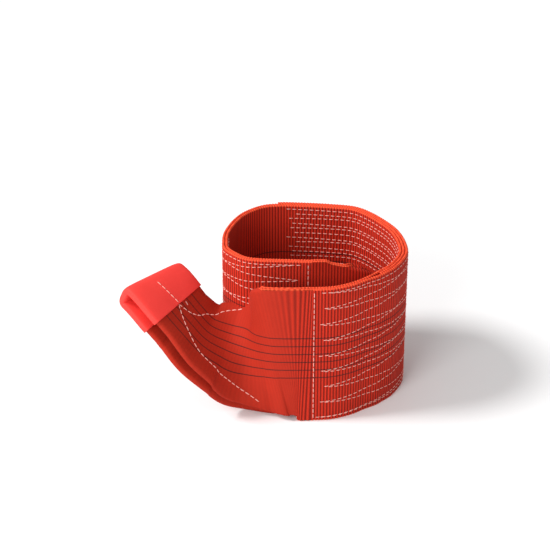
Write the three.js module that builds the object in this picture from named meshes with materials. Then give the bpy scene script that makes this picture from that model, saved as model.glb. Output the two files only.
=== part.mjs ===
import * as THREE from "three";

// Flat duplex webbing sling with folded eyes, standing on its lower edge and coiled about one turn.
// Millimetres, +Z up, the front of the coil faces -Y, the front eye points to -X.

// Webbing
const WIDTH = 150;
const PLY = 2.8;
const GAP = 0.3;
const PITCH = PLY + GAP;
const HALF = WIDTH / 2;

// Folded edges of the eyes
const FOLD_RADIUS = 1.8;
const FLAP_START = 3;
const FOLDED_HALF = 38.1;
const FIRST_FOLD = HALF - FLAP_START - FOLD_RADIUS * (Math.PI - 1) + PLY / 2;
const TOP_FOLD = { from: 36, to: 50, outline: [[50, FIRST_FOLD], [62, 62.5]] };
const BOTTOM_FOLD = { from: 4, to: 26, outline: [[26, FIRST_FOLD], [42, 69], [60, 65]] };
for (const fold of [TOP_FOLD, BOTTOM_FOLD]) {
  fold.outline.push([80, 55.5], [100, 48], [120, 43], [146, FOLDED_HALF]);
}

// Wear sleeves
const SLEEVE_WALL = 1.2;
const SLEEVE_FIT = 0.5;
const SLEEVE_REACH = 31;

// Eyes
const EYE_LENGTH = 187;
const EYE_OPEN = 22;
const STACK = 10.9;
const TIP_STEPS = 8;
const TIP_DEPTH = 8;
const TIP_BLUNT = 0.65;

// Distance between the two plies of an eye at its upper and lower fold, by the place along it
const FAR_GAP = [[96, STACK], [118, 16], [142, 21], [160, EYE_OPEN]];
const TOP_GAP = [[0, PITCH], [36, 3.4], [40, 9.8], [45, 12.8], [48, 12.8], [52, STACK], ...FAR_GAP];
const BOTTOM_GAP = [[0, PITCH], [4, 3.4], [10, 9.8], [18, 12.8], [23, 12.8], [28, STACK], ...FAR_GAP];
// How far the inner ply of the front eye hangs below the outer one
const SAG = [[36, 0], [50, 3.5], [80, 7], [110, 5], [140, 0]];
// How far the inner eye is held above the floor by the stiffness of the webbing
const RISE = [[0, 0], [6, 0.4], [44, 0.4], [66, 8], [180, 10]];

// Coil, measured along the inner ply from the front seam
const STEP = 8.5;
const END_A = 306;
const END_B = 74;
const EASE = 22;

// Plan of the inner ply, from the front seam round to the seam inside the coil
const COIL = [
  [-4, -89], [16, -86.8], [34, -79.2], [49, -68], [63.5, -53.5], [71.5, -45], [84, -18.5],
  [83.8, 4], [77.8, 27.7], [69, 44], [53.8, 64.2], [41, 74.8], [17, 80], [-14, 83.4], [-34, 84.2],
  [-51, 81], [-69, 66.6], [-77.8, 52.5], [-84.3, 35.6], [-87.8, 20.5], [-88.2, 5.8], [-87, -7],
  [-79.5, -18], [-68.4, -27.8], [-55.6, -31.2], [-25, -33.2], [-5.4, -34.1],
];

// Front eye, outer ply: centre of the strip and its width direction at even steps from the seam
const FRONT_EYE = [
  { at: [-4, -92.1, 75], width: [0, 0, 1] },
  { at: [-23, -93, 75.3], width: [-0.08, 0, 1] },
  { at: [-40, -87.5, 72.3], width: [-0.14, 0.02, 0.99] },
  { at: [-53.5, -76, 67.4], width: [-0.1, 0.1, 0.99] },
  { at: [-68, -64, 64.2], width: [0.02, 0.36, 0.93] },
  { at: [-86.5, -59, 67.5], width: [0.16, 0.76, 0.63] },
  { at: [-106.3, -60, 79], width: [0.26, 0.9, 0.33] },
  { at: [-121.5, -57.5, 96], width: [0.4, 0.9, 0.14] },
  { at: [-136.5, -51, 113], width: [0.53, 0.84, 0.02] },
  { at: [-150.5, -41, 126], width: [0.64, 0.76, -0.07] },
  { at: [-164, -29.5, 134], width: [0.71, 0.69, -0.12] },
];
const FRONT_STEP = 20;

// Inner eye, outer ply in plan
const INNER_EYE = [
  [-5.4, -37.2], [19, -37.2], [40, -35], [57, -28.5], [69, -15], [74, 4], [72.5, 22], [65, 39],
  [53, 53], [39, 62.5], [23, 67.5],
];

// Straight-line reading of a short list of [place, value] pairs
function read(list, place) {
  const last = list[list.length - 1];
  if (place <= list[0][0]) return list[0][1];
  if (place >= last[0]) return last[1];
  for (let i = 1; i < list.length; i++) {
    if (place <= list[i][0]) {
      const [p, v] = list[i - 1];
      return v + ((list[i][1] - v) * (place - p)) / (list[i][0] - p);
    }
  }
  return last[1];
}

const smooth = (t) => {
  const u = Math.min(1, Math.max(0, t));
  return u * u * (3 - 2 * u);
};

const flatSection = (frame) => section(frame, [[-HALF, 0, 0], [HALF, 0, 0]]);

// One half of the mid line across the strip as [across, inward, angle], from the middle outward. The
// place along the eye sets how far its edge is folded over onto the inner face.
function halfLine(place, fold) {
  const turn = Math.PI * Math.min(1, Math.max(0, (place - fold.from) / (fold.to - fold.from)));
  const bend = turn > 0 ? FOLD_RADIUS : 0;
  let centre = HALF - FLAP_START - FOLD_RADIUS * turn;
  if (turn >= Math.PI) centre = read(fold.outline, place) - FOLD_RADIUS - PLY / 2;
  const flap = HALF - FOLD_RADIUS * turn - centre;
  const line = [0.33, 0.67].map((k) => [k * centre, 0, 0]);
  for (let i = 0; i <= 3; i++) {
    const angle = (turn * i) / 3;
    const spread = turn > 0 ? 0 : (flap * i) / 4;
    line.push([centre + bend * Math.sin(angle) + spread, bend * (1 - Math.cos(angle)), angle]);
  }
  const [endW, endN] = line[line.length - 1];
  const left = turn > 0 ? flap : flap / 4;
  line.push([endW + left * Math.cos(turn), endN + left * Math.sin(turn), turn]);
  return line;
}

function foldedLine(place) {
  const lower = halfLine(place, BOTTOM_FOLD).map(([w, n, a]) => [-w, n, -a]);
  return [...lower.reverse(), [0, 0, 0], ...halfLine(place, TOP_FOLD)];
}

// Distance of the lower fold from the middle of the strip
const lowerReach = (place) => {
  const line = halfLine(place, BOTTOM_FOLD).map((m) => m[0]);
  return Math.min(HALF, Math.max(...line) + PLY / 2);
};

// Offsets a mid line by half a ply to both sides and places it in space. A section holds four sides:
// outer face, edge, inner face, edge.
function section(frame, line) {
  const put = ([w, n, a], side) => {
    const off = (side * PLY) / 2;
    const p = frame.at.clone();
    p.addScaledVector(frame.width, w - off * Math.sin(a));
    return p.addScaledVector(frame.inward, n + off * Math.cos(a));
  };
  const outer = line.map((m) => put(m, -1));
  const inner = line.map((m) => put(m, 1)).reverse();
  return [outer, [outer[outer.length - 1], inner[0]], inner, [inner[inner.length - 1], outer[0]]];
}

// `turn` is 1 where the inside of the loop lies left of the way along, else -1
function frameOf(at, width, along, turn = 1) {
  const inward = new THREE.Vector3().crossVectors(along, width).normalize().multiplyScalar(turn);
  const across = new THREE.Vector3().crossVectors(inward, along).normalize().multiplyScalar(turn);
  return { at, width: across, inward };
}

// Joins neighbouring sections, side by side, and closes both ends
class Skin {
  constructor() {
    this.points = [];
    this.faces = [];
    this.known = new Map();
  }

  add(point) {
    if (!this.known.has(point)) {
      this.known.set(point, this.points.length);
      this.points.push(point);
    }
    return this.known.get(point);
  }

  face(a, b, c) {
    this.faces.push([this.add(a), this.add(b), this.add(c)]);
  }

  zip(near, far) {
    let i = 0;
    let j = 0;
    while (i < near.length - 1 || j < far.length - 1) {
      const nextNear = (i + 1) / (near.length - 1);
      const nextFar = (j + 1) / (far.length - 1);
      if (j === far.length - 1 || (i < near.length - 1 && nextNear <= nextFar)) {
        this.face(near[i], near[i + 1], far[j]);
        i += 1;
      } else {
        this.face(near[i], far[j + 1], far[j]);
        j += 1;
      }
    }
  }

  bridge(near, far) {
    near.forEach((side, k) => this.zip(side, far[k]));
  }

  geometry() {
    const at = this.points;
    let volume = 0;
    for (const [a, b, c] of this.faces) {
      volume += new THREE.Vector3().crossVectors(at[a], at[b]).dot(at[c]);
    }
    const out = volume < 0 ? this.faces.map(([a, b, c]) => [a, c, b]) : this.faces;
    const flat = new Float32Array(at.flatMap((p) => [p.x, p.y, p.z]));
    const made = new THREE.BufferGeometry();
    made.setAttribute("position", new THREE.BufferAttribute(flat, 3));
    made.setIndex(out.flat());
    made.computeVertexNormals();
    return made;
  }
}

const plan = (list, z) => list.map(([x, y]) => new THREE.Vector3(x, y, z));
const coil = new THREE.CatmullRomCurve3(plan(COIL, HALF), false, "centripetal");
coil.arcLengthDivisions = 2000;
const LENGTH = coil.getLength();

// A flat station of the body: `layer` counts plies outward from the inner one
function bodyFrame(s, layer, forward) {
  const t = coil.getTangentAt(s / LENGTH);
  const at = coil.getPointAt(s / LENGTH);
  at.add(new THREE.Vector3(t.y, -t.x, 0).multiplyScalar(layer * PITCH));
  return frameOf(at, new THREE.Vector3(0, 0, 1), forward ? t : t.clone().negate());
}

function bodyPlaces(from, to) {
  const inside = [];
  const count = Math.round(LENGTH / STEP);
  for (let i = 0; i <= count; i++) {
    const s = (LENGTH * i) / count;
    if (s > from + 1 && s < to - 1) inside.push(s);
  }
  return [from, ...inside, to];
}

// Stations of an eye from the seam to the tip; `line` gives centre and width direction
function eyePlaces() {
  const places = [];
  for (const { from, to } of [BOTTOM_FOLD, TOP_FOLD]) {
    places.push(from - 2);
    for (let i = 0; i <= 5; i++) places.push(from + ((to - from) * i) / 5);
  }
  const rest = 15;
  for (let i = 1; i <= rest; i++) places.push(TOP_FOLD.to + ((EYE_LENGTH - TOP_FOLD.to) * i) / rest);
  return places;
}

const frontCentre = new THREE.CatmullRomCurve3(FRONT_EYE.map((e) => new THREE.Vector3(...e.at)));
const frontWidth = new THREE.CatmullRomCurve3(FRONT_EYE.map((e) => new THREE.Vector3(...e.width)));
const FRONT_REACH = FRONT_STEP * (FRONT_EYE.length - 1);

function frontLine(place) {
  const t = place / FRONT_REACH;
  return { at: frontCentre.getPoint(t), width: frontWidth.getPoint(t), along: frontCentre.getTangent(t) };
}

const innerPlan = new THREE.CatmullRomCurve3(plan(INNER_EYE, 0), false, "centripetal");
const INNER_REACH = innerPlan.getLength();

function innerLine(place) {
  const t = Math.min(1, place / INNER_REACH);
  const at = innerPlan.getPointAt(t);
  at.z = lowerReach(place) + read(RISE, place);
  return { at, width: new THREE.Vector3(0, 0, 1), along: innerPlan.getTangentAt(t) };
}

// Outer ply, blunt tip and inner ply of an eye as a list of frames with their places
function eyeFrames(line, turn, sag) {
  const outer = eyePlaces().map((place) => {
    const { at, width, along } = line(place);
    return { place, along, ...frameOf(at, width, along, turn) };
  });
  const tip = outer[outer.length - 1];
  const bend = [];
  for (let i = 1; i < TIP_STEPS; i++) {
    const angle = (Math.PI * i) / TIP_STEPS;
    const side = Math.sign(Math.cos(angle)) * Math.abs(Math.cos(angle)) ** TIP_BLUNT;
    const at = tip.at.clone().addScaledVector(tip.inward, (EYE_OPEN / 2) * (1 - side));
    at.addScaledVector(tip.along, TIP_DEPTH * Math.sin(angle) ** TIP_BLUNT);
    const along = tip.along.clone().multiplyScalar(Math.cos(angle));
    along.addScaledVector(tip.inward, Math.sin(angle));
    bend.push({ place: EYE_LENGTH, ...frameOf(at, tip.width, along, turn) });
  }
  const inner = outer.map((f) => {
    const [top, bottom] = [read(TOP_GAP, f.place), read(BOTTOM_GAP, f.place)];
    const tilt = (top - bottom) / WIDTH;
    const at = f.at.clone().addScaledVector(f.inward, (top + bottom) / 2);
    at.addScaledVector(f.width, -sag * read(SAG, f.place));
    const width = f.width.clone().addScaledVector(f.inward, tilt).normalize();
    const inward = f.width.clone().multiplyScalar(tilt).sub(f.inward).normalize();
    return { place: f.place, at, width, inward };
  });
  return [...outer, ...bend, ...inner.reverse()];
}

const frontEye = eyeFrames(frontLine, 1, 1);
const innerEye = eyeFrames(innerLine, -1, 0);

const eyeSection = (f) => section(f, foldedLine(f.place));

// The strip from cut end A to cut end B
function strap() {
  const sections = [];
  const ease = (s) => 1 + smooth((s - (END_B - EASE)) / EASE);
  const outermost = bodyPlaces(0, END_A).reverse();
  for (const s of outermost) {
    if (s === 0 || s > END_B + 1 || s < END_B - 1) sections.push(flatSection(bodyFrame(s, ease(s), false)));
  }
  for (const f of frontEye) sections.push(eyeSection(f));
  for (const s of bodyPlaces(0, LENGTH)) sections.push(flatSection(bodyFrame(s, 0, true)));
  for (const f of [...innerEye].reverse()) sections.push(eyeSection(f));
  for (const s of bodyPlaces(END_B, LENGTH).reverse()) sections.push(flatSection(bodyFrame(s, 1, false)));

  const skin = new Skin();
  for (let i = 1; i < sections.length; i++) skin.bridge(sections[i - 1], sections[i]);
  const [a, b] = [sections[0], sections[sections.length - 1]];
  skin.face(a[0][0], a[2][0], a[0][1]);
  skin.face(a[0][0], a[2][1], a[2][0]);
  skin.face(b[0][0], b[0][1], b[2][0]);
  skin.face(b[0][0], b[2][0], b[2][1]);
  return skin.geometry();
}

// Flat tube around the folded strip, open at both ends
function sleeve(frames) {
  const depth = 2 * FOLD_RADIUS + PLY;
  const middle = FOLD_RADIUS;
  const loop = (f, grow) => {
    const w = FOLDED_HALF + grow;
    const n = depth / 2 + grow;
    const r = 0.55 * n;
    const flat = [-1, -0.67, -0.33, 0, 0.33, 0.67, 1].map((k) => [k * (w - r), -n]);
    const top = [[-w, -n + r], ...flat, [w, -n + r]];
    const shape = [...top, ...top.map(([x, y]) => [-x, -y])];
    return shape.map(([x, y]) => {
      const p = f.at.clone().addScaledVector(f.width, x);
      return p.addScaledVector(f.inward, middle + y);
    });
  };
  const skin = new Skin();
  const rings = frames.map((f) => [loop(f, SLEEVE_FIT + SLEEVE_WALL), loop(f, SLEEVE_FIT)]);
  const quad = (p, q, r, s) => {
    skin.face(p, q, r);
    skin.face(p, r, s);
  };
  rings.forEach(([outer, inner], k) => {
    outer.forEach((p, i) => {
      const j = (i + 1) % outer.length;
      if (k === 0) quad(outer[i], inner[i], inner[j], outer[j]);
      if (k === rings.length - 1) quad(outer[i], outer[j], inner[j], inner[i]);
      if (k > 0) {
        const [before, hollow] = rings[k - 1];
        quad(before[i], before[j], outer[j], outer[i]);
        quad(hollow[j], hollow[i], inner[i], inner[j]);
      }
    });
  });
  return skin.geometry();
}

const underSleeve = (frames) => frames.filter((f) => f.place >= EYE_LENGTH - SLEEVE_REACH);

function piece(name, geometry, colour, roughness) {
  const material = new THREE.MeshStandardMaterial({ color: colour, roughness, name: `${name}_fabric` });
  const mesh = new THREE.Mesh(geometry, material);
  mesh.name = name;
  return mesh;
}

const sling = new THREE.Group();
sling.name = "lifting_sling";
sling.add(piece("webbing_strap", strap(), 0xd8301a, 0.7));
sling.add(piece("eye_sleeve_front", sleeve(underSleeve(frontEye)), 0xd63428, 0.6));
sling.add(piece("eye_sleeve_inner", sleeve(underSleeve(innerEye)), 0xd63428, 0.6));

// The coil stands on the floor, centred on its plan
const box = new THREE.Box3().setFromObject(sling);
const mid = box.getCenter(new THREE.Vector3());
for (const mesh of sling.children) mesh.geometry.translate(-mid.x, -mid.y, -box.min.z);

export default sling;
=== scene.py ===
import math

import bpy
import numpy as np
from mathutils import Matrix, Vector


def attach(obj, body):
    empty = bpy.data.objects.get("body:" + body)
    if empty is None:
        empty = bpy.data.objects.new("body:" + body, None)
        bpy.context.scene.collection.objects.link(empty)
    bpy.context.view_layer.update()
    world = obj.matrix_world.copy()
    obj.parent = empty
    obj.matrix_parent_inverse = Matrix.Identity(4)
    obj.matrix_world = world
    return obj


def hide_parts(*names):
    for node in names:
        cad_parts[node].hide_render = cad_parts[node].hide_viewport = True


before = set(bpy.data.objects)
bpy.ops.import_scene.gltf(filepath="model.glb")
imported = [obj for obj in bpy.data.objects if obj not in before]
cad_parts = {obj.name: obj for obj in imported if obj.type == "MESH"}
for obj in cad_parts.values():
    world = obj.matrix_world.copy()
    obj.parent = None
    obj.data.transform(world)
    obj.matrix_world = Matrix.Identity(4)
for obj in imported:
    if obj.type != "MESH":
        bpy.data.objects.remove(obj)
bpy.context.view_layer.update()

# Millimetres in the coil's own frame; the frame of the row lies this far away
SHIFT = np.array([49.835, 3.184, 0.0])
WIDTH, PLY, PITCH = 150.0, 2.8, 3.1
HALF = WIDTH / 2
FOLD_RADIUS, FLAP_START, FOLDED_HALF = 1.8, 3.0, 38.1
EYE_LENGTH, EYE_OPEN, STACK = 187.0, 22.0, 10.9
TIP_DEPTH, TIP_BLUNT = 8.0, 0.65
END_A, END_B, EASE = 306.0, 74.0, 22.0
SLEEVE_REACH = 31.0
RIB = 3.1
STRIPES = [-2.0 + 9.0 * (k - 2.5) for k in range(6)]

COIL = [
    (-4, -89), (16, -86.8), (34, -79.2), (49, -68), (63.5, -53.5), (71.5, -45), (84, -18.5),
    (83.8, 4), (77.8, 27.7), (69, 44), (53.8, 64.2), (41, 74.8), (17, 80), (-14, 83.4), (-34, 84.2),
    (-51, 81), (-69, 66.6), (-77.8, 52.5), (-84.3, 35.6), (-87.8, 20.5), (-88.2, 5.8), (-87, -7),
    (-79.5, -18), (-68.4, -27.8), (-55.6, -31.2), (-25, -33.2), (-5.4, -34.1),
]
FRONT_AT = [
    (-4, -92.1, 75), (-23, -93, 75.3), (-40, -87.5, 72.3), (-53.5, -76, 67.4), (-68, -64, 64.2),
    (-86.5, -59, 67.5), (-106.3, -60, 79), (-121.5, -57.5, 96), (-136.5, -51, 113),
    (-150.5, -41, 126), (-164, -29.5, 134),
]
FRONT_WIDTH = [
    (0, 0, 1), (-0.05, 0, 1), (-0.12, 0.02, 0.99), (-0.1, 0.1, 0.99), (0.02, 0.36, 0.93),
    (0.16, 0.76, 0.63), (0.26, 0.9, 0.33), (0.4, 0.9, 0.14), (0.53, 0.84, 0.02), (0.64, 0.76, -0.07),
    (0.71, 0.69, -0.12),
]
FRONT_STEP = 20.0
INNER_EYE = [
    (-5.4, -37.2), (19, -37.2), (40, -35), (57, -28.5), (69, -15), (74, 4), (72.5, 22), (65, 39),
    (53, 53), (39, 62.5), (23, 67.5),
]
FIRST_FOLD = HALF - FLAP_START - FOLD_RADIUS * (math.pi - 1) + PLY / 2
NARROWING = [(80, 55.5), (100, 48), (120, 43), (146, FOLDED_HALF)]
TOP_FOLD = (36, 50, [(50, FIRST_FOLD), (62, 62.5)] + NARROWING)
BOTTOM_FOLD = (9, 32, [(32, FIRST_FOLD), (44, 68.8), (60, 65)] + NARROWING)
FAR_GAP = [(60, STACK), (96, STACK), (118, 16), (142, 21), (160, EYE_OPEN)]
TOP_GAP = [(0, PITCH), (36, 3.4), (40, 9.8), (45, 12.8), (48, 12.8), (52, STACK)] + FAR_GAP
BOTTOM_GAP = [(0, PITCH), (9, 3.4), (15, 9.8), (24, 12.8), (29, 12.8), (34, STACK)] + FAR_GAP
SAG = [(36, 0), (50, 3.5), (80, 7), (110, 5), (140, 0)]
RISE = [(0, 0), (6, 0.4), (44, 0.4), (66, 8), (180, 10)]


def read(pairs, x):
    xs, ys = zip(*pairs)
    return np.interp(x, xs, ys)


def smooth(t):
    u = np.clip(t, 0, 1)
    return u * u * (3 - 2 * u)


def unit(v):
    return v / np.linalg.norm(v, axis=-1, keepdims=True)


def catmull(points, t):
    """Centripetal curve through the points, at even parameters from 0 to 1."""
    p = np.asarray(points, float)
    f = np.clip(np.atleast_1d(t), 0, 1) * (len(p) - 1)
    i = np.minimum(f.astype(int), len(p) - 2)
    w = (f - i)[:, None]
    ext = np.vstack([2 * p[0] - p[1], p, 2 * p[-1] - p[-2]])
    a, b, c, d = ext[i], ext[i + 1], ext[i + 2], ext[i + 3]

    def gap(m, n):
        return np.maximum(((m - n) ** 2).sum(1) ** 0.25, 1e-9)[:, None]

    d0, d1, d2 = gap(a, b), gap(b, c), gap(c, d)
    t1 = ((b - a) / d0 - (c - a) / (d0 + d1) + (c - b) / d1) * d1
    t2 = ((c - b) / d1 - (d - b) / (d1 + d2) + (d - c) / d2) * d1
    return b + t1 * w + (3 * (c - b) - 2 * t1 - t2) * w**2 + (2 * (b - c) + t1 + t2) * w**3


class Path:
    """A curve that is read by its length."""

    def __init__(self, points):
        self.points = [tuple(p) + (0,) * (3 - len(p)) for p in points]
        self.t = np.linspace(0, 1, 4001)
        line = catmull(self.points, self.t)
        steps = np.linalg.norm(np.diff(line, axis=0), axis=1)
        self.run = np.concatenate([[0], np.cumsum(steps)])
        self.length = self.run[-1]

    def at(self, s):
        return catmull(self.points, np.interp(s, self.run, self.t))

    def along(self, s):
        t = np.interp(s, self.run, self.t)
        lo, hi = np.clip(t - 2e-4, 0, 1), np.clip(t + 2e-4, 0, 1)
        return unit(catmull(self.points, hi) - catmull(self.points, lo))


coil = Path(COIL)
inner_plan = Path(INNER_EYE)
LENGTH = coil.length
UP = np.array([0.0, 0.0, 1.0])


def frames(at, width, along, turn=1):
    inward = unit(np.cross(along, width)) * turn
    across = unit(np.cross(inward, along)) * turn
    return {"at": at, "width": across, "inward": inward}


def body(s, layer, forward):
    """Flat stations of the coil; layer counts plies outward from the inner one."""
    s = np.atleast_1d(np.asarray(s, float))
    along = coil.along(s)
    out = np.stack([along[:, 1], -along[:, 0], 0 * s], 1)
    at = coil.at(s) + out * (np.broadcast_to(layer, s.shape) * PITCH)[:, None] + HALF * UP
    made = frames(at, np.tile(UP, (len(s), 1)), along if forward else -along)
    made["place"] = np.full(len(s), -1.0)
    made["rib"] = np.ones(len(s))
    return made


def half_line(place, fold):
    """Half of the mid line from the middle outward: across, inward, angle and place on the webbing."""
    start, end, outline = fold
    turn = math.pi * min(1.0, max(0.0, (place - start) / (end - start)))
    bend = FOLD_RADIUS if turn > 0 else 0.0
    centre = HALF - FLAP_START - FOLD_RADIUS * turn
    if turn >= math.pi:
        centre = float(read(outline, place)) - FOLD_RADIUS - PLY / 2
    flap = HALF - FOLD_RADIUS * turn - centre
    half = [(k * centre, 0.0, 0.0, k * centre) for k in np.linspace(0, 1, 7)[1:-1]]
    for i in range(6):
        angle = turn * i / 5
        spread = 0.0 if turn > 0 else flap * i / 8
        half.append((centre + bend * math.sin(angle) + spread, bend * (1 - math.cos(angle)), angle,
                     centre + bend * angle + spread))
    last = half[-1]
    left = flap if turn > 0 else flap * 3 / 8
    for k in (0.3, 0.6, 1.0):
        half.append((last[0] + left * k * math.cos(turn), last[1] + left * k * math.sin(turn), turn,
                     last[3] + left * k))
    return half


def folded(place):
    lower = [(-w, n, -a, -v) for w, n, a, v in half_line(place, BOTTOM_FOLD)]
    return lower[::-1] + [(0.0, 0.0, 0.0, 0.0)] + half_line(place, TOP_FOLD)


def lower_reach(place):
    return min(HALF, max(m[0] for m in half_line(place, BOTTOM_FOLD)) + PLY / 2)


def front_line(place):
    t = place / (FRONT_STEP * (len(FRONT_AT) - 1))
    lo, hi = np.clip(t - 1e-4, 0, 1), np.clip(t + 1e-4, 0, 1)
    along = unit(catmull(FRONT_AT, hi) - catmull(FRONT_AT, lo))
    return catmull(FRONT_AT, t), catmull(FRONT_WIDTH, t), along


def inner_line(place):
    at = inner_plan.at(np.minimum(place, inner_plan.length))
    at[:, 2] = [lower_reach(p) for p in place] + read(RISE, place)
    return at, np.tile(UP, (len(place), 1)), inner_plan.along(np.minimum(place, inner_plan.length))


def eye(line, turn, step, sag):
    """Outer ply, blunt tip and inner ply of an eye."""
    place = np.linspace(0, EYE_LENGTH, int(EYE_LENGTH / step) + 1)[1:]
    at, width, along = line(place)
    outer = frames(at, width, along, turn)
    outer["place"] = place
    count = max(10, int(36 / step))
    angle = np.linspace(0, math.pi, count + 1)[1:-1][:, None]
    side = np.sign(np.cos(angle)) * np.abs(np.cos(angle)) ** TIP_BLUNT
    tip_in, tip_on = outer["inward"][-1], along[-1]
    bend_at = at[-1] + tip_in * EYE_OPEN / 2 * (1 - side) + tip_on * TIP_DEPTH * np.sin(angle) ** TIP_BLUNT
    bend = frames(bend_at, np.tile(outer["width"][-1], (len(angle), 1)),
                  tip_on * np.cos(angle) + tip_in * np.sin(angle), turn)
    bend["place"] = np.full(len(angle), EYE_LENGTH)
    top, bottom = read(TOP_GAP, place)[:, None], read(BOTTOM_GAP, place)[:, None]
    tilt = (top - bottom) / WIDTH
    across, inward = outer["width"], outer["inward"]
    inner = {
        "at": at + inward * (top + bottom) / 2 - across * (sag * read(SAG, place))[:, None],
        "width": unit(across + inward * tilt),
        "inward": unit(across * tilt - inward),
        "place": place,
    }
    inner = {k: v[::-1] for k, v in inner.items()}
    return {k: np.concatenate([outer[k], bend[k], inner[k]]) for k in outer}


def ease(s):
    return 1 + smooth((s - (END_B - EASE)) / EASE)


fine = RIB / 4
front_eye = eye(front_line, 1, fine, 1)
inner_eye = eye(inner_line, -1, 2 * fine, 0)
s_a = np.arange(END_A, 0, -fine)
s_l = np.arange(0, LENGTH, fine)
s_b = np.arange(LENGTH, END_B, -fine)
for run, fade in ((front_eye, (4, 14, 24)), (inner_eye, (30, 60, 90))):
    run["rib"] = np.interp(run["place"], fade, (1.0, 0.25, 0.04))
runs = [
    body(s_a, ease(s_a), False),
    front_eye,
    body(s_l, 0, True),
    {k: v[::-1] for k, v in inner_eye.items()},
    body(s_b, 1, False),
]
strip = {k: np.concatenate([r[k] for r in runs]) for k in runs[0]}
u_all = np.concatenate([[0], np.cumsum(np.linalg.norm(np.diff(strip["at"], axis=0), axis=1))])
SEAM_U = float(u_all[len(s_a)])
RIBS_END = SEAM_U + 4
EYE_TIP = float(u_all[len(s_a) + len(front_eye["place"]) - 1])



def relief(rib, u):
    """Half thickness of a ply with its ribs, which are flat on the eyes."""
    return PLY / 2 - 0.05 + 0.2 * rib * math.cos(2 * math.pi * u / RIB)


def moved(point, way):
    """A point of a mid line moved along the line."""
    w, n, a, v = point
    return w + way * math.cos(a), n + way * math.sin(a), a, v + way


def ring_of(k):
    """Closed loop of points round one section, with their places on the webbing."""
    place, u = strip["place"][k], u_all[k]
    at, width, inward = strip["at"][k], strip["width"][k], strip["inward"][k]
    h = relief(strip["rib"][k], u)
    if place < 0:
        line = [(w, 0.0, 0.0, w) for w in np.linspace(-HALF + 1.1, HALF - 1.1, 7)]
    else:
        line = folded(place)
        first, last = line[0], line[-1]
        back = 1.1
        line[0] = moved(first, back)
        line[-1] = moved(last, -back)
    sides = []
    for side, order in ((-1, line), (1, line[::-1])):
        pts = []
        for w, n, a, v in order:
            off = side * h
            pts.append((at + width * (w - off * math.sin(a)) + inward * (n + off * math.cos(a)), v))
        sides.append(pts)
        w, n, a, v = order[-1]
        sign = 1 if side < 0 else -1
        swell = 1.1 + 0.25 * math.cos(2 * math.pi * u / RIB)
        lip = []
        for turn in (-0.6, 0.0, 0.6):
            b = side * -turn * h
            grow = sign * swell * math.sqrt(1 - turn * turn)
            ww = w + grow * math.cos(a) - b * math.sin(a)
            nn = n + grow * math.sin(a) + b * math.cos(a)
            lip.append((at + width * ww + inward * nn, v + grow))
        sides.append(lip)
    return sides


def zipped(near, far):
    """Faces between two rows of different length."""
    i = j = 0
    faces = []
    while i < len(near) - 1 or j < len(far) - 1:
        if j == len(far) - 1 or (i < len(near) - 1 and (i + 1) / (len(near) - 1) <= (j + 1) / (len(far) - 1)):
            faces.append((near[i], near[i + 1], far[j]))
            i += 1
        else:
            faces.append((near[i], far[j + 1], far[j]))
            j += 1
    return faces


def make(name, verts, faces, uv=None, smooth_faces=True):
    mesh = bpy.data.meshes.new(name)
    metres = (np.asarray(verts) + SHIFT) / 1000
    mesh.from_pydata([tuple(v) for v in metres], [], [tuple(map(int, f)) for f in faces])
    if uv is not None:
        layer = mesh.uv_layers.new(name="strip")
        loops = np.empty(len(mesh.loops), int)
        mesh.loops.foreach_get("vertex_index", loops)
        layer.data.foreach_set("uv", (np.asarray(uv)[loops] / 1000).ravel())
    if smooth_faces:
        mesh.shade_smooth()
    obj = bpy.data.objects.new(name, mesh)
    bpy.context.collection.objects.link(obj)
    return obj


def build_strap():
    verts, uv, faces, rows = [], [], [], []
    for k in range(len(u_all)):
        sides = ring_of(k)
        ids = []
        for side in sides:
            row = []
            for p, v in side:
                row.append(len(verts))
                verts.append(p)
                uv.append((u_all[k], v))
            ids.append(row)
        rows.append(ids)
    for a, b in zip(rows, rows[1:]):
        ring_a = [i for side in a for i in side]
        ring_b = [i for side in b for i in side]
        if len(ring_a) == len(ring_b):
            n = len(ring_a)
            faces += [(ring_a[i], ring_a[(i + 1) % n], ring_b[(i + 1) % n], ring_b[i]) for i in range(n)]
        else:
            for q in range(4):
                nxt = (q + 1) % 4
                if q % 2 == 0:
                    faces += zipped(a[q], b[q])
                else:
                    faces += zipped([a[q - 1][-1]] + a[q] + [a[nxt][0]], [b[q - 1][-1]] + b[q] + [b[nxt][0]])
    faces.append([i for side in rows[0] for i in side][::-1])
    faces.append([i for side in rows[-1] for i in side])
    return make("webbing", verts, faces, uv)


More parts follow.
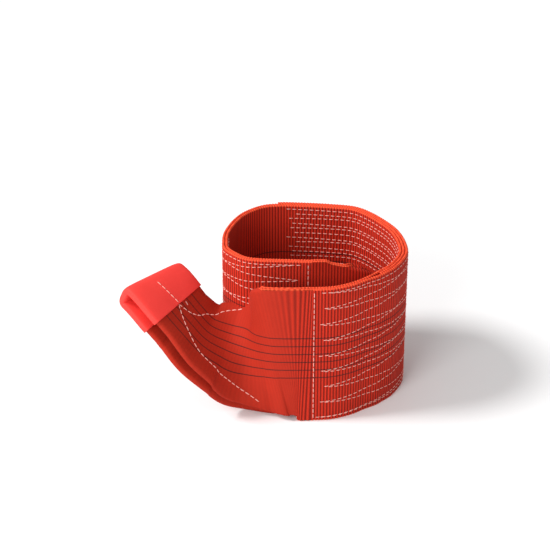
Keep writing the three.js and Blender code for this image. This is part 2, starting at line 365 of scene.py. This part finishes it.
def sleeve(name, eye_run):
    keep = [k for k in range(len(eye_run["place"])) if eye_run["place"][k] >= EYE_LENGTH - SLEEVE_REACH]
    depth = FOLD_RADIUS + PLY / 2
    verts, faces, uv, rings = [], [], [], []
    run = np.concatenate([[0], np.cumsum(np.linalg.norm(np.diff(eye_run["at"][keep], axis=0), axis=1))])
    for skin, grow in enumerate((1.5, 0.5)):
        rows = []
        for k, u in zip(keep, run):
            w, n = FOLDED_HALF + grow, depth + grow
            row = []
            for i in range(48):
                q = 2 * math.pi * i / 48
                c, d = math.cos(q), math.sin(q)
                x = w * math.copysign(abs(c) ** 0.4, c) if abs(c) > 1e-9 else 0.0
                y = n * math.copysign(abs(d) ** 0.3, d) if abs(d) > 1e-9 else 0.0
                row.append(len(verts))
                spot = eye_run["at"][k] + eye_run["width"][k] * x
                verts.append(spot + eye_run["inward"][k] * (FOLD_RADIUS + y))
                uv.append((u, x + (0 if d > 0 else 200)))
            rows.append(row)
        rings.append(rows)
        for a, b in zip(rows, rows[1:]):
            for i in range(48):
                j = (i + 1) % 48
                quad = (a[i], a[j], b[j], b[i])
                faces.append(quad if skin == 0 else quad[::-1])
    for end in (0, -1):
        o, p = rings[0][end], rings[1][end]
        for i in range(48):
            j = (i + 1) % 48
            quad = (o[i], p[i], p[j], o[j])
            faces.append(quad if end == 0 else quad[::-1])
    return make(name, verts, faces, uv)


webbing = build_strap()
sleeve_front = sleeve("sleeve_front", front_eye)
sleeve_inner = sleeve("sleeve_inner", inner_eye)


# Sewing
STITCH, DASH, THREAD = 6.0, 4.4, 0.42
# Swelling and height of a stitch at five places along it
STITCH_SHAPE = [(0.35, -0.35), (0.9, -0.05), (1.0, 0.08), (0.9, -0.05), (0.35, -0.35)]
EDGE_IN = 4.0
FANS = 9
FAN_PITCH = (WIDTH - 2 * EDGE_IN) / (FANS - 1)
FAN_RISE = [0.4, 0.7, 1.05, 1.0, 0.9, 1.05, 0.95, 0.8, 1.1]
FAN_FALL = [0.6, 0.7, 0.65, 0.3, 0.75, 0.5, 0.8, 0.6, 0.9]


def on_body(s, z, layer, face):
    """Points and outward directions on one face of the coil; face is 1 outside and -1 inside."""
    s = np.asarray(s, float)
    along = coil.along(s)
    out = np.stack([along[:, 1], -along[:, 0], 0 * s], 1)
    off = np.broadcast_to(layer, s.shape) * PITCH + face * (PLY / 2 + 0.12)
    at = coil.at(s) + out * off[:, None]
    at[:, 2] = z
    return at, face * out


def on_front_eye(place, v):
    """Points and outward directions on the outer face of the front eye."""
    place, v = np.asarray(place, float), np.asarray(v, float)
    at, width, along = front_line(place)
    fr = frames(at, width, along)
    spots, normals = [], []
    for k, (a, x) in enumerate(zip(place, v)):
        line = folded(a)
        ways = [m[3] for m in line]
        w, n, turn = (np.interp(x, ways, [m[i] for m in line]) for i in range(3))
        across, inward = fr["width"][k], fr["inward"][k]
        normal = across * math.sin(turn) - inward * math.cos(turn)
        spots.append(fr["at"][k] + across * w + inward * n + normal * (PLY / 2 + 0.05))
        normals.append(normal)
    return np.array(spots), np.array(normals)


def sewn(surface, start, end, bend=0.0):
    """A row of stitches between two places on a surface, as samples 0.5 mm apart."""
    count = max(8, int(math.dist(start, end)))
    t = np.linspace(0, 1, count)
    a = start[0] + (end[0] - start[0]) * t
    b = start[1] + (end[1] - start[1]) * t + bend * np.sin(math.pi * t)
    return surface(a, b)


class Sewing:
    """All stitches of one thread in one mesh."""

    def __init__(self):
        self.verts, self.faces = [], []

    def row(self, line, phase=0.0, radius=THREAD, dash=DASH):
        spots, normals = line
        run = np.concatenate([[0], np.cumsum(np.linalg.norm(np.diff(spots, axis=0), axis=1))])
        for first in np.arange(phase, run[-1] - dash, STITCH):
            u = first + dash * np.array([0.0, 0.18, 0.5, 0.82, 1.0])
            mid = np.stack([np.interp(u, run, spots[:, i]) for i in range(3)], 1)
            up = unit(np.stack([np.interp(u, run, normals[:, i]) for i in range(3)], 1))
            along = unit(mid[-1] - mid[0])
            side = unit(np.cross(up, along))
            base = len(self.verts)
            for i, (swell, sink) in enumerate(STITCH_SHAPE):
                for q in range(6):
                    angle = 2 * math.pi * q / 6
                    shift = side[i] * math.cos(angle) * radius * swell
                    shift = shift + up[i] * (math.sin(angle) * radius * 0.7 * swell + sink + 0.12)
                    self.verts.append(mid[i] + shift)
            for i in range(4):
                for q in range(6):
                    r = (q + 1) % 6
                    a, b = base + 6 * i, base + 6 * (i + 1)
                    self.faces.append((a + q, a + r, b + r, b + q))
            self.faces.append(tuple(base + q for q in range(6))[::-1])
            self.faces.append(tuple(base + 24 + q for q in range(6)))

    def done(self, name):
        return make(name, self.verts, self.faces, smooth_faces=True)


def fans(sewing, surface, start, way, length):
    """Long zigzag rows that spread from the end of the body along the strip."""
    for i in range(FANS):
        z = EDGE_IN + FAN_PITCH * i
        up = min(WIDTH - EDGE_IN, z + FAN_PITCH * FAN_RISE[i])
        down = max(EDGE_IN, z - FAN_PITCH * FAN_FALL[i])
        inset = 2 + 2.5 * (i % 3)
        near, end = start + way * inset, start + way * length
        sewing.row(sewn(surface, (near, z), (end, up)), phase=1.7 * (i % 4))
        sewing.row(sewn(surface, (near + way * 5, z), (end, down), 1.5), phase=1.1 * (i % 5))


def outer(s, z):
    return on_body(s, z, np.where(s < END_A, ease(s), 1.0), 1)


def inside(s, z):
    return on_body(s, z, 0, -1)


body_thread = Sewing()
fans(body_thread, outer, 2, 1, 150)
fans(body_thread, outer, LENGTH - 2, -1, 135)
fans(body_thread, inside, LENGTH - 2, -1, 120)
for s in (1.5, LENGTH - 1.5):
    body_thread.row(sewn(outer, (s, 3), (s, WIDTH - 3)), dash=5.2)
LAP_ROWS = 27
LAP_PITCH = (WIDTH - 2 * EDGE_IN) / (LAP_ROWS - 1)
for i in range(LAP_ROWS):
    z = EDGE_IN + LAP_PITCH * i
    wander = 1.6 * math.sin(2.4 * i)
    body_thread.row(sewn(inside, (120 + 2 * (i % 3), z), (298 - 5 * (i % 2), z), wander), phase=2.3 * (i % 3))
    body_thread.row(sewn(outer, (170, z), (298, z), 0.6), phase=2.3 * (i % 3))
stitches_body = body_thread.done("stitches_body")

eye_thread = Sewing()
LONG_ROW = [(157, -2), (146, -10), (129, -20), (116, -26), (102, -30), (88, -34), (73, -46), (66, -54)]
SHORT_ROW = [(157, -2), (145, 3), (137, 10), (132, 19), (116, 30), (98, 40)]
TACK = [(155, 8), (146, 5)]
for points in (LONG_ROW, SHORT_ROW, TACK):
    path = Path(points)
    spots = path.at(np.linspace(0, path.length, max(6, int(path.length / 1.5))))
    eye_thread.row(on_front_eye(spots[:, 0], spots[:, 1]), radius=0.55, dash=4.8)
spots, normals = on_front_eye(np.linspace(158, EYE_LENGTH, 30), np.linspace(-2, -6, 30))
eye_thread.row((spots + 1.55 * normals, normals), radius=0.5, dash=5.2)
stitches_eye = eye_thread.done("stitches_eye")


# Materials
def nodes_of(name):
    mat = bpy.data.materials.new(name)
    mat.use_nodes = True
    tree = mat.node_tree
    tree.nodes.clear()
    out = tree.nodes.new("ShaderNodeOutputMaterial")
    bsdf = tree.nodes.new("ShaderNodeBsdfPrincipled")
    tree.links.new(bsdf.outputs[0], out.inputs[0])
    return mat, tree, bsdf


def op(tree, kind, *args):
    node = tree.nodes.new("ShaderNodeMath")
    node.operation = kind
    for i, a in enumerate(args):
        if isinstance(a, (int, float)):
            node.inputs[i].default_value = a
        else:
            tree.links.new(a, node.inputs[i])
    return node.outputs[0]


def mixed(tree, factor, a, b):
    node = tree.nodes.new("ShaderNodeMix")
    node.data_type = "RGBA"
    for socket, value in ((node.inputs[0], factor), (node.inputs[6], a), (node.inputs[7], b)):
        if isinstance(value, (int, float)):
            socket.default_value = value
        elif isinstance(value, tuple):
            socket.default_value = (*value, 1)
        else:
            tree.links.new(value, socket)
    return node.outputs[2]


def between(tree, u, low, high):
    """1 between two lengths of the strip, with soft ends."""
    node = tree.nodes.new("ShaderNodeMapRange")
    node.interpolation_type = "SMOOTHSTEP"
    tree.links.new(u, node.inputs[0])
    node.inputs[1].default_value = low / 1000
    node.inputs[2].default_value = (low + 25) / 1000
    upper = tree.nodes.new("ShaderNodeMapRange")
    upper.interpolation_type = "SMOOTHSTEP"
    tree.links.new(u, upper.inputs[0])
    upper.inputs[1].default_value = (high - 25) / 1000
    upper.inputs[2].default_value = high / 1000
    upper.inputs[3].default_value = 1.0
    upper.inputs[4].default_value = 0.0
    return op(tree, "MULTIPLY", node.outputs[0], upper.outputs[0])


def webbing_material():
    mat, tree, bsdf = nodes_of("webbing_red")
    link = tree.links.new
    uvn = tree.nodes.new("ShaderNodeUVMap")
    uvn.uv_map = "strip"
    sep = tree.nodes.new("ShaderNodeSeparateXYZ")
    link(uvn.outputs[0], sep.inputs[0])
    u, v = sep.outputs[0], sep.outputs[1]
    # Ribs painted into the colour: dark red painted shade in the rib valleys, bright red painted highlight on
    # the crests; on the eyes most of it gives way to a plain red.
    wave = op(tree, "COSINE", op(tree, "MULTIPLY", u, 2 * math.pi / (RIB / 1000)))
    rib_light_mask = op(tree, "MULTIPLY_ADD", wave, 0.5, 0.5)
    fine_v = op(tree, "SINE", op(tree, "MULTIPLY", v, 2 * math.pi / 0.0011))
    fine_u = op(tree, "SINE", op(tree, "MULTIPLY", u, 2 * math.pi / 0.0008))
    noise = tree.nodes.new("ShaderNodeTexNoise")
    noise.inputs["Scale"].default_value = 60
    noise.inputs["Detail"].default_value = 5
    link(uvn.outputs[0], noise.inputs["Vector"])
    painted_rib_light = mixed(tree, rib_light_mask, (0.16, 0.006, 0.002), (0.74, 0.032, 0.010))
    smooth_part = between(tree, u, RIBS_END, EYE_TIP)
    colour = mixed(tree, op(tree, "MULTIPLY", smooth_part, 0.94), painted_rib_light, (0.42, 0.020, 0.006))
    colour = mixed(tree, op(tree, "MULTIPLY", noise.outputs[0], 0.35), colour, (0.27, 0.011, 0.004))
    # Selvedge edges made brighter in dashes along the strip: partly the cords' own paler tone, partly painted
    # highlight.
    rim = op(tree, "GREATER_THAN", op(tree, "ABSOLUTE", v), (HALF - 1.2) / 1000)
    cord_tone_and_highlight = op(tree, "MULTIPLY_ADD", op(tree, "SINE", op(tree, "MULTIPLY", u, 2 * math.pi / 0.0025)), 0.3, 0.6)
    colour = mixed(tree, op(tree, "MULTIPLY", rim, cord_tone_and_highlight), colour, (0.95, 0.10, 0.035))
    dark = None
    for place in STRIPES:
        d = op(tree, "ABSOLUTE", op(tree, "SUBTRACT", v, place / 1000))
        hit = op(tree, "LESS_THAN", d, 0.00055)
        dark = hit if dark is None else op(tree, "MAXIMUM", dark, hit)
    colour = mixed(tree, op(tree, "MULTIPLY", dark, 0.8), colour, (0.03, 0.008, 0.008))
    link(colour, bsdf.inputs["Base Color"])
    bsdf.inputs["Roughness"].default_value = 0.8
    bsdf.inputs["Specular IOR Level"].default_value = 0.2
    bump = tree.nodes.new("ShaderNodeBump")
    bump.inputs["Strength"].default_value = 0.5
    bump.inputs["Distance"].default_value = 0.0002
    weave = op(tree, "ADD", fine_v, op(tree, "MULTIPLY", fine_u, 0.4))
    link(op(tree, "MULTIPLY", weave, 0.5), bump.inputs["Height"])
    link(bump.outputs[0], bsdf.inputs["Normal"])
    return mat


def sleeve_material():
    mat, tree, bsdf = nodes_of("sleeve_red")
    link = tree.links.new
    uvn = tree.nodes.new("ShaderNodeUVMap")
    uvn.uv_map = "strip"
    sep = tree.nodes.new("ShaderNodeSeparateXYZ")
    link(uvn.outputs[0], sep.inputs[0])
    u, v = sep.outputs[0], sep.outputs[1]
    weave = op(tree, "MULTIPLY", op(tree, "SINE", op(tree, "MULTIPLY", v, 2 * math.pi / 0.0009)),
               op(tree, "SINE", op(tree, "MULTIPLY", u, 2 * math.pi / 0.0009)))
    noise = tree.nodes.new("ShaderNodeTexNoise")
    noise.inputs["Scale"].default_value = 40
    noise.inputs["Detail"].default_value = 4
    link(uvn.outputs[0], noise.inputs["Vector"])
    colour = mixed(tree, noise.outputs[0], (0.95, 0.060, 0.048), (0.80, 0.042, 0.034))
    link(colour, bsdf.inputs["Base Color"])
    bsdf.inputs["Roughness"].default_value = 0.7
    bsdf.inputs["Specular IOR Level"].default_value = 0.2
    bump = tree.nodes.new("ShaderNodeBump")
    bump.inputs["Strength"].default_value = 0.3
    bump.inputs["Distance"].default_value = 0.00015
    link(weave, bump.inputs["Height"])
    link(bump.outputs[0], bsdf.inputs["Normal"])
    return mat


def thread_material():
    mat, tree, bsdf = nodes_of("thread_pale")
    noise = tree.nodes.new("ShaderNodeTexNoise")
    noise.inputs["Scale"].default_value = 300
    colour = mixed(tree, noise.outputs[0], (0.92, 0.50, 0.44), (0.74, 0.28, 0.22))
    tree.links.new(colour, bsdf.inputs["Base Color"])
    bsdf.inputs["Roughness"].default_value = 0.6
    return mat


red, smooth_red, pale = webbing_material(), sleeve_material(), thread_material()
webbing.data.materials.append(red)
for piece in (sleeve_front, sleeve_inner):
    piece.data.materials.append(smooth_red)

for piece in (stitches_body, stitches_eye):
    piece.data.materials.append(pale)
    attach(piece, "root")
dressed = {
    "webbing_strap": webbing,
    "eye_sleeve_front": sleeve_front,
    "eye_sleeve_inner": sleeve_inner,
}
for node, piece in dressed.items():
    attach(piece, "root")
    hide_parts(node)


# Stage
def plain(name, colour, rough):
    mat, tree, bsdf = nodes_of(name)
    noise = tree.nodes.new("ShaderNodeTexNoise")
    noise.inputs["Scale"].default_value = 2
    dusty = mixed(tree, noise.outputs[0], colour, tuple(0.99 * c for c in colour))
    tree.links.new(dusty, bsdf.inputs["Base Color"])
    bsdf.inputs["Roughness"].default_value = rough
    return mat


bpy.ops.mesh.primitive_plane_add(size=12)
floor = bpy.context.object
floor.name = "floor"
floor.data.materials.append(plain("pale_floor", (0.9, 0.9, 0.9), 0.9))

world = bpy.data.worlds.new("studio")
bpy.context.scene.world = world
bpy.context.scene.view_settings.view_transform = "Standard"
world.use_nodes = True
world.node_tree.nodes["Background"].inputs[0].default_value = (1, 1, 1, 1)
world.node_tree.nodes["Background"].inputs[1].default_value = 0.5


def area(name, place, target, size, watts):
    data = bpy.data.lights.new(name, "AREA")
    data.shape = "DISK"
    data.size, data.energy = size, watts
    lamp = bpy.data.objects.new(name, data)
    bpy.context.collection.objects.link(lamp)
    lamp.location = place
    way = np.array(target) - np.array(place)
    lamp.rotation_euler = Vector(way).to_track_quat("-Z", "Y").to_euler()
    return lamp


sun = bpy.data.lights.new("key", "SUN")
sun.energy, sun.angle = 2.8, math.radians(18)
key = bpy.data.objects.new("key", sun)
bpy.context.collection.objects.link(key)
key.rotation_euler = Vector((1.0, 0.05, -0.95)).to_track_quat("-Z", "Y").to_euler()
area("front_fill", (-0.7, -1.3, 0.9), (0.0, 0.0, 0.05), 0.9, 14)

TILT, LENS = math.radians(29.3), 116.76
data = bpy.data.cameras.new("camera")
data.lens, data.sensor_width = LENS, 36
data.clip_end = 20
camera = bpy.data.objects.new("camera", data)
bpy.context.collection.objects.link(camera)
camera.location = (np.array([-39.8, -1569.7, 994.6]) + SHIFT) / 1000
camera.rotation_euler = (math.pi / 2 - TILT, 0, 0)
bpy.context.scene.camera = camera
